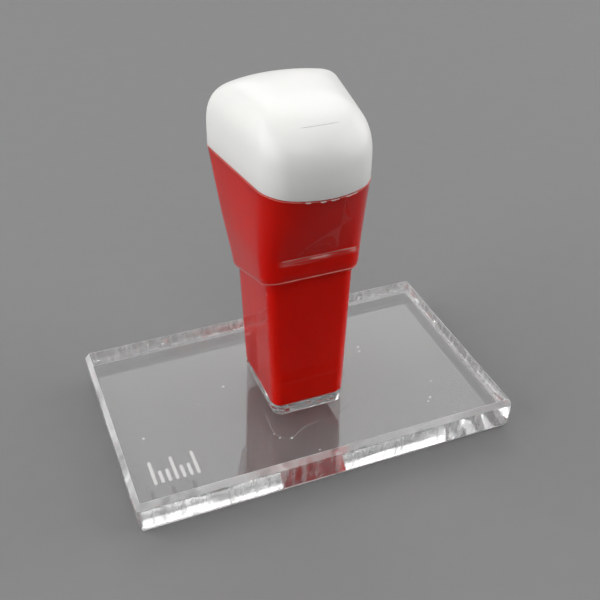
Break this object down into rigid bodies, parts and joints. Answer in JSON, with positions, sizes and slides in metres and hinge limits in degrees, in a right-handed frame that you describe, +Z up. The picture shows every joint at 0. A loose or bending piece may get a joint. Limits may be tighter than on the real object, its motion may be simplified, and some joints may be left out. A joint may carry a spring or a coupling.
{
  "type": "hand stamp mount",
  "caption": "Hand stamp mount with a clear rectangular plate, an upright flared handle with a clear skin over a red core, and a white domed push-in cap.",
  "frame": {"origin": "middle of the plate's underside, the face that carries the printing die", "axes": "+X along the plate's long side, -Y towards the handle's upright finger band, +Z up the handle"},
  "size_m": [0.0584, 0.035, 0.0532],
  "materials": {
    "clear_plate": "polished clear acrylic",
    "cement": "cured clear cement with bubbles",
    "clear_shell": "polished clear moulding",
    "red_plastic": "smooth solid red",
    "white_plastic": "smooth gloss white"
  },
  "bodies": {
    "mount": {"base_plate": "clear_plate", "cement_film": "cement", "handle_shell": "clear_shell", "colour_core": "red_plastic"},
    "cap": {"cap": "white_plastic"}
  },
  "joints": [
    {"name": "cap_pull", "type": "slide", "parent": "mount", "child": "cap", "axis": [0, 0, 1], "range_m": [0, 0.012]}
  ]
}
